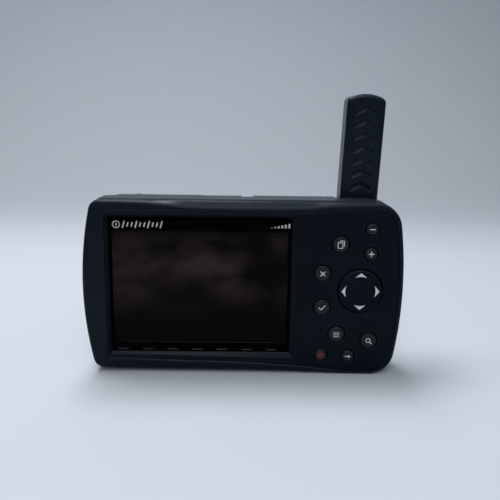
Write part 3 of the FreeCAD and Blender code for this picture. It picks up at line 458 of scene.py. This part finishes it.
NODE_FINISH = {
    "casing_plastic": ["front_casing", "rear_casing", "pack_cover", "pack_base"],
    "face_plastic": ["face_panel"],
    "antenna_plastic": ["antenna_front_shell", "antenna_rear_shell"],
    "key_plastic": ["key_zoom_out", "key_zoom_in", "key_page", "key_quit", "key_enter", "key_menu",
                    "key_find", "key_power", "key_direct"],
    "rocker_plastic": ["rocker_pad"],
    "black_rubber": ["casing_gasket", "display_seal", "usb_cap", "audio_cap", "aux_cap"],
    "grey_silicone": ["keypad_web"],
    "window_glass": ["display_lens"],
    "unlit_screen": ["lcd_panel"],
    "mask_ink": ["lens_mask"],
    "pressed_steel": ["lcd_frame", "rocker_post", "switch_domes", "receiver_shield", "backup_cell",
                      "usb_socket"],
    "screw_steel": ["casing_screws", "latch_stud", "latch_ring"],
    "gold_contact": ["aux_antenna_jack", "power_pins", "pack_contacts", "battery_contacts", "latch_seat",
                     "antenna_plug", "antenna_socket"],
    "copper_foil": ["antenna_helix"],
    "circuit_board": ["key_board", "main_board", "pack_board", "antenna_board"],
    "chip_black": ["processor", "memory_chips", "buzzer", "audio_jack", "power_socket"],
    "ivory_plastic": ["backlight", "rocker_carrier", "board_connector", "antenna_former"],
    "amber_film": ["display_ribbon"],
    "cell_sleeve": ["battery_cells"],
}


# ---------------------------------------------------------------- mesh helpers
def mesh_object(name, bm, material, body):
    """Turns a bmesh into a finished piece at the origin that rides on a body."""
    bmesh.ops.recalc_face_normals(bm, faces=bm.faces)
    mesh = bpy.data.meshes.new(name)
    bm.to_mesh(mesh)
    bm.free()
    piece = bpy.data.objects.new(name, mesh)
    bpy.context.scene.collection.objects.link(piece)
    mesh.materials.append(material)
    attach(piece, body)


def middle_of(node):
    """Middle of a node's front, as x and z."""
    low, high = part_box(node)
    return (low.x + high.x) / 2, (low.z + high.z) / 2


def surface_of(node):
    """A tree for finding where a line along Y meets a CAD node."""
    mesh = NODES[node].data
    return BVHTree.FromPolygons([v.co for v in mesh.vertices], [p.vertices for p in mesh.polygons])


def drape(bm, node, lift):
    """Lays a sign, drawn flat in X and Z, on the front of a node, and gives it the thickness of ink."""
    tree = surface_of(node)
    ahead, inwards = -1.0, Vector((0, 1, 0))
    for vert in bm.verts:
        hit = tree.ray_cast(Vector((vert.co.x, ahead, vert.co.z)), inwards)
        if hit[0] is None:
            raise RuntimeError(f"a sign reaches past {node}")
        vert.co.y = hit[0].y - lift
    bmesh.ops.solidify(bm, geom=list(bm.faces), thickness=0.02 * MM)


def add_bar(bm, start, end, width):
    """Straight stroke between two (x, z) points, divided so that it can follow a dome."""
    a, b = Vector((start[0], 0, start[1])), Vector((end[0], 0, end[1]))
    along = b - a
    grid = bmesh.ops.create_grid(bm, x_segments=6, y_segments=1, size=0.5)["verts"]
    turn = math.atan2(-along.z, along.x)
    place = Matrix.Translation((a + b) / 2) @ Matrix.Rotation(turn, 4, "Y")
    shape = place @ Matrix.Rotation(math.pi / 2, 4, "X") @ Matrix.Diagonal((along.length, width, 1, 1))
    bmesh.ops.transform(bm, matrix=shape, verts=grid)


def add_arc(bm, centre, radius, width, start=0.0, stop=360.0):
    """Round stroke about (x, z) from one angle to another, in degrees."""
    a = math.radians(start)
    way = Vector((math.cos(a), 0, math.sin(a)))
    middle = Vector((centre[0], 0, centre[1]))
    verts = [bm.verts.new(middle + way * r) for r in (radius - width / 2, radius + width / 2)]
    edge = bm.edges.new(verts)
    bmesh.ops.spin(bm, geom=verts + [edge], cent=middle, axis=(0, 1, 0), angle=-math.radians(stop - start),
                   steps=28, use_merge=abs(stop - start) >= 360)


def add_patch(bm, corners):
    """Flat patch with the given (x, z) corners, divided so that it can follow a dome."""
    face = bm.faces.new([bm.verts.new((x, 0, z)) for x, z in corners])
    bmesh.ops.subdivide_edges(bm, edges=list(face.edges), cuts=3, use_grid_fill=True)


# ---------------------------------------------------------------- signs on the keys
# A sign is drawn about (x, z). It reaches about u to each side, and its strokes are w wide.
def sign_minus(bm, x, z, u, w):
    add_bar(bm, (x - u, z), (x + u, z), w)


def sign_plus(bm, x, z, u, w):
    add_bar(bm, (x - u, z), (x + u, z), w)
    add_bar(bm, (x, z - u), (x, z - w / 2), w)
    add_bar(bm, (x, z + w / 2), (x, z + u), w)


def sign_page(bm, x, z, u, w):
    """A whole sheet, and the two far edges of one behind it."""
    for dx, dz, edges in ((-0.22, -0.2, (0, 1, 2, 3)), (0.3, 0.3, (1, 2))):
        cx, cz = x + dx * u, z + dz * u
        a, b = 0.72 * u, 0.9 * u
        corners = [(cx - a, cz - b), (cx + a, cz - b), (cx + a, cz + b), (cx - a, cz + b)]
        for k in edges:
            add_bar(bm, corners[k], corners[(k + 1) % 4], w * 0.8)


def sign_cross(bm, x, z, u, w):
    s = 0.72 * u
    add_bar(bm, (x - s, z - s), (x + s, z + s), w)
    add_bar(bm, (x - s, z + s), (x + s, z - s), w)


def sign_check(bm, x, z, u, w):
    low = (x - 0.3 * u, z - 0.7 * u)
    add_bar(bm, (x - u, z - 0.05 * u), low, w)
    add_bar(bm, low, (x + u, z + 0.7 * u), w)


def sign_menu(bm, x, z, u, w):
    for k in (-1, 0, 1):
        add_bar(bm, (x - 0.9 * u, z + 0.6 * u * k), (x + 0.9 * u, z + 0.6 * u * k), w * 0.8)


def sign_find(bm, x, z, u, w):
    """A lens with its handle."""
    add_arc(bm, (x - 0.2 * u, z + 0.22 * u), 0.62 * u, w * 0.85)
    add_bar(bm, (x + 0.26 * u, z - 0.26 * u), (x + 0.95 * u, z - 0.95 * u), w)


def sign_power(bm, x, z, u, w):
    add_arc(bm, (x, z), 0.85 * u, w * 0.8, 125.0, 415.0)
    add_bar(bm, (x, z + 0.1 * u), (x, z + 1.05 * u), w * 0.8)


def sign_direct(bm, x, z, u, w):
    """An arrow to the right."""
    add_bar(bm, (x - 1.1 * u, z), (x + 0.3 * u, z), w)
    add_patch(bm, [(x + 0.2 * u, z - 0.62 * u), (x + 1.15 * u, z), (x + 0.2 * u, z + 0.62 * u)])


# each key's sign, the sign's reach in millimetres and its ink
KEY_SIGNS = {
    "key_zoom_out": (sign_minus, 1.25, "white_ink"),
    "key_zoom_in": (sign_plus, 1.25, "white_ink"),
    "key_page": (sign_page, 1.45, "white_ink"),
    "key_quit": (sign_cross, 1.5, "white_ink"),
    "key_enter": (sign_check, 1.5, "white_ink"),
    "key_menu": (sign_menu, 1.6, "white_ink"),
    "key_find": (sign_find, 1.55, "white_ink"),
    "key_power": (sign_power, 1.25, "red_ink"),
    "key_direct": (sign_direct, 1.25, "white_ink"),
}


# ---------------------------------------------------------------- marks behind the window
def compass_mark(bm, x, z):
    """A ring with a needle."""
    ring, line, half_needle, half_waist = 1.55 * MM, 0.4 * MM, 1.0 * MM, 0.4 * MM
    add_arc(bm, (x, z), ring, line)
    add_patch(bm, [(x - half_waist, z), (x, z - half_needle), (x + half_waist, z), (x, z + half_needle)])


def tick_marks(bm, x, z):
    """Ten leaning ticks to the right of x, every third one tall."""
    pitch, line, lean = 1.9 * MM, 0.6 * MM, 0.3
    for k in range(10):
        middle = x + pitch * k
        half = (1.6 if k % 3 == 0 else 1.0) * MM
        add_bar(bm, (middle - lean * half, z - half), (middle + lean * half, z + half), line)


def rising_bars(bm, x, z):
    """Six bars to the right of x, each taller than the last."""
    pitch, line, foot, first_top, rise = 1.6 * MM, 0.8 * MM, -1.0 * MM, -0.75 * MM, 0.36 * MM
    for k in range(6):
        middle = x + pitch * k
        add_bar(bm, (middle, z + foot), (middle, z + first_top + rise * k), line)


def painted_glints(bm, x, z):
    """Seven painted glints, grey dashes standing for light caught along the bottom of the window, in a row to
    the right of x.
    """
    pitch, line, half = 11.6 * MM, 0.45 * MM, 2.4 * MM
    for k in range(7):
        middle = x + pitch * k
        add_bar(bm, (middle - half, z), (middle + half, z), line)


# ---------------------------------------------------------------- operators
class NAVIGATOR_OT_finishes(bpy.types.Operator):
    """Give every CAD piece its finish"""
    bl_idname = "navigator.finishes"
    bl_label = "Finishes"

    def execute(self, context):
        for name, nodes in NODE_FINISH.items():
            for node in nodes:
                mesh = NODES[node].data
                mesh.materials.clear()
                mesh.materials.append(finish(name))
        return {"FINISHED"}


class NAVIGATOR_OT_key_signs(bpy.types.Operator):
    """Print a plain sign on each key"""
    bl_idname = "navigator.key_signs"
    bl_label = "Key signs"

    def execute(self, context):
        sizes = context.scene.navigator_print
        for node, (draw, reach, ink) in KEY_SIGNS.items():
            bm = bmesh.new()
            draw(bm, *middle_of(node), reach * MM, sizes.stroke)
            drape(bm, node, sizes.lift)
            mesh_object(node.replace("key_", "sign_"), bm, finish(ink), node)
        return {"FINISHED"}


class NAVIGATOR_OT_rocker_arrows(bpy.types.Operator):
    """Print four arrows with hollow backs on the rocker"""
    bl_idname = "navigator.rocker_arrows"
    bl_label = "Rocker arrows"

    def execute(self, context):
        sizes = context.scene.navigator_print
        x, z = middle_of("rocker_pad")
        half, tall, hollow = 2.75 * MM, 2.3 * MM, 0.5 * MM
        bm = bmesh.new()
        for k in range(4):
            # the grid's rows run from the hollow back to the pointed tip
            made = bmesh.ops.create_grid(bm, x_segments=12, y_segments=4, size=0.5)["verts"]
            for vert in made:
                across, up = vert.co.x * 2, vert.co.y + 0.5
                back = hollow * (1 - across * across)
                tip = tall * (1 - abs(across))
                out = back + (tip - back) * up if tip > back else tip
                vert.co = Vector((across * half, 0, sizes.arrow_radius - tall / 2 + out))
            bmesh.ops.rotate(bm, verts=made, cent=(0, 0, 0), matrix=Matrix.Rotation(math.pi / 2 * k, 3, "Y"))
            bmesh.ops.translate(bm, verts=made, vec=(x, 0, z))
        drape(bm, "rocker_pad", sizes.lift)
        mesh_object("rocker_arrows", bm, finish("white_ink"), "rocker")
        return {"FINISHED"}


class NAVIGATOR_OT_window_print(bpy.types.Operator):
    """Print small marks on the inside of the window, beside the display, and lay painted glints along its
    bottom
    """
    bl_idname = "navigator.window_print"
    bl_label = "Window print"

    def execute(self, context):
        low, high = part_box("display_lens")
        compass_x, marks_z = low.x + 3.9 * MM, high.z - 4.4 * MM
        bm = bmesh.new()
        compass_mark(bm, compass_x, marks_z)
        tick_marks(bm, compass_x + 3.3 * MM, marks_z)
        rising_bars(bm, high.x - 9.8 * MM, marks_z)
        self.print_inside(bm, high.y, "window_marks", "grey_ink")
        bm = bmesh.new()
        # painted glints: grey dashes standing for light caught along the window's lower edge
        painted_glints(bm, low.x + 5.5 * MM, low.z + 1.25 * MM)
        self.print_inside(bm, high.y, "painted_glints", "slot_ink")
        return {"FINISHED"}

    def print_inside(self, bm, back, name, ink):
        """Sets a flat print, or the painted glints, just inside the back of the window."""
        for vert in bm.verts:
            vert.co.y = back - 0.02 * MM
        bmesh.ops.solidify(bm, geom=list(bm.faces), thickness=0.01 * MM)
        mesh_object(name, bm, finish(ink), "unit")


class NAVIGATOR_OT_stage(bpy.types.Operator):
    """Pale sweep, soft lamps and the camera"""
    bl_idname = "navigator.stage"
    bl_label = "Stage"

    def execute(self, context):
        settings = context.scene.navigator_stage
        self.add_sweep(settings.wall_distance, tuple(settings.floor_colour))
        # name, place, what it points at, size and power
        self.add_lamp("back_lamp", (-0.24, 0.24, 1.05), (0.0, 0.0, 0.0), (0.7, 0.30), 9.6)
        self.add_lamp("sky_lamp", (0.0, -0.76, 0.79), (0.0, 0.0, 0.0), (0.6, 0.9), 3.4)
        self.add_lamp("front_lamp", (-0.25, -1.15, 0.60), (0.0, 0.0, 0.05), (1.0, 0.35), 1.0)
        self.set_world(context)
        self.add_camera(context, settings.lens)
        return {"FINISHED"}

    def add_sweep(self, turn_y, colour):
        """Paper that lies flat, turns up behind the unit in a quarter circle and rises as a wall."""
        half_wide, front, radius, wall = 5.0, 2.2, 0.30, 1.6
        bm = bmesh.new()
        start = [bm.verts.new((x, -front, 0.0)) for x in (-half_wide, half_wide)]
        floor = bmesh.ops.extrude_edge_only(bm, edges=[bm.edges.new(start)])["geom"]
        far = [g for g in floor if isinstance(g, bmesh.types.BMVert)]
        bmesh.ops.translate(bm, verts=far, vec=(0, turn_y + front, 0))
        far_edge = [g for g in floor if isinstance(g, bmesh.types.BMEdge) and set(g.verts) == set(far)]
        turned = bmesh.ops.spin(bm, geom=far + far_edge, cent=(0, turn_y, radius), axis=(1, 0, 0),
                                angle=math.pi / 2, steps=24)["geom_last"]
        top_edge = [g for g in turned if isinstance(g, bmesh.types.BMEdge)]
        risen = bmesh.ops.extrude_edge_only(bm, edges=top_edge)["geom"]
        top = [g for g in risen if isinstance(g, bmesh.types.BMVert)]
        bmesh.ops.translate(bm, verts=top, vec=(0, 0, wall))
        mesh = bpy.data.meshes.new("sweep")
        bm.to_mesh(mesh)
        bm.free()
        for polygon in mesh.polygons:
            polygon.use_smooth = True
        sweep = bpy.data.objects.new("sweep", mesh)
        bpy.context.scene.collection.objects.link(sweep)
        mesh.materials.append(self.sweep_paper(colour))

    def sweep_paper(self, colour):
        """Pale paper whose colour darkens towards the wall, a painted shade."""
        material, tree, shader = new_material("sweep_paper", colour, 0.85, specular=0.1)
        # painted shade: the paper's colour falls to about two thirds towards the wall
        painted_wall_shade = ramp_node(tree, axis_part(tree, object_vector(tree), "Y"), low=0.16, high=0.56)
        tree.links.new(mix_colour(tree, painted_wall_shade, colour, lighter(colour, 0.68)), shader.inputs["Base Color"])
        return material

    def add_lamp(self, name, place, aim, size, power):
        """A soft rectangular lamp."""
        data = bpy.data.lights.new(name, "AREA")
        data.shape = "RECTANGLE"
        data.size, data.size_y = size
        data.energy = power
        lamp = bpy.data.objects.new(name, data)
        lamp.location = place
        lamp.rotation_euler = (Vector(aim) - Vector(place)).to_track_quat("-Z", "Y").to_euler()
        bpy.context.scene.collection.objects.link(lamp)

    def set_world(self, context):
        """A pale room for the camera and for glass. As light it is dim in front, brighter behind the unit and
        between the two overhead."""
        world = bpy.data.worlds.new("studio")
        world.use_nodes = True
        tree = world.node_tree
        background = tree.nodes["Background"]
        heading = tree.nodes.new("ShaderNodeTexCoord").outputs["Generated"]
        to_back = ramp_node(tree, axis_part(tree, heading, "Y"), low=-0.9, high=0.6)
        overhead = ramp_node(tree, axis_part(tree, heading, "Z"), low=0.15, high=0.75)
        walls = mix_colour(tree, to_back, (0.06, 0.065, 0.075), (0.26, 0.275, 0.30))
        room = mix_colour(tree, overhead, walls, (0.20, 0.21, 0.23))
        path = tree.nodes.new("ShaderNodeLightPath")
        seen = math_node(tree, "MAXIMUM", path.outputs["Is Camera Ray"], path.outputs["Is Transmission Ray"])
        tree.links.new(mix_colour(tree, seen, room, (0.42, 0.46, 0.51)), background.inputs["Color"])
        background.inputs["Strength"].default_value = 1.0
        context.scene.world = world
        context.scene.view_settings.view_transform = "Standard"

    def add_camera(self, context, lens):
        """Camera in front of the unit and a little above it, looking slightly down."""
        place = (0.0006, -0.2888, 0.1191)
        down, turn, roll = math.radians(12.65), math.radians(-0.5), math.radians(0.77)
        data = bpy.data.cameras.new("camera")
        data.lens = lens
        data.sensor_width = 36.0
        data.clip_start = 0.01
        camera = bpy.data.objects.new("camera", data)
        aim = Euler((math.pi / 2 - down, 0.0, turn)).to_matrix() @ Matrix.Rotation(roll, 3, "Z")
        camera.matrix_world = Matrix.Translation(place) @ aim.to_4x4()
        context.scene.collection.objects.link(camera)
        context.scene.camera = camera


class NAVIGATOR_PT_panel(bpy.types.Panel):
    """Lists the steps that build the looks"""
    bl_idname = "NAVIGATOR_PT_panel"
    bl_label = "Handheld Navigator"
    bl_space_type = "VIEW_3D"
    bl_region_type = "UI"
    bl_category = "Navigator"

    def draw(self, context):
        for operator in OPERATORS:
            self.layout.operator(operator.bl_idname)
        for group in SETTINGS:
            settings = getattr(context.scene, group)
            box = self.layout.box()
            for name in settings.__annotations__:
                box.prop(settings, name)


SETTINGS = {"navigator_shell": ShellSettings, "navigator_print": PrintSettings,
            "navigator_stage": StageSettings}
OPERATORS = (NAVIGATOR_OT_finishes, NAVIGATOR_OT_key_signs, NAVIGATOR_OT_rocker_arrows,
             NAVIGATOR_OT_window_print, NAVIGATOR_OT_stage)


def register():
    for cls in (*SETTINGS.values(), *OPERATORS, NAVIGATOR_PT_panel):
        bpy.utils.register_class(cls)
    for name, cls in SETTINGS.items():
        setattr(bpy.types.Scene, name, bpy.props.PointerProperty(type=cls))


def unregister():
    for name in SETTINGS:
        delattr(bpy.types.Scene, name)
    for cls in reversed((*SETTINGS.values(), *OPERATORS, NAVIGATOR_PT_panel)):
        bpy.utils.unregister_class(cls)


def main():
    register()
    bpy.ops.navigator.finishes()
    bpy.ops.navigator.key_signs()
    bpy.ops.navigator.rocker_arrows()
    bpy.ops.navigator.window_print()
    bpy.ops.navigator.stage()


if __name__ == "__main__":
    main()
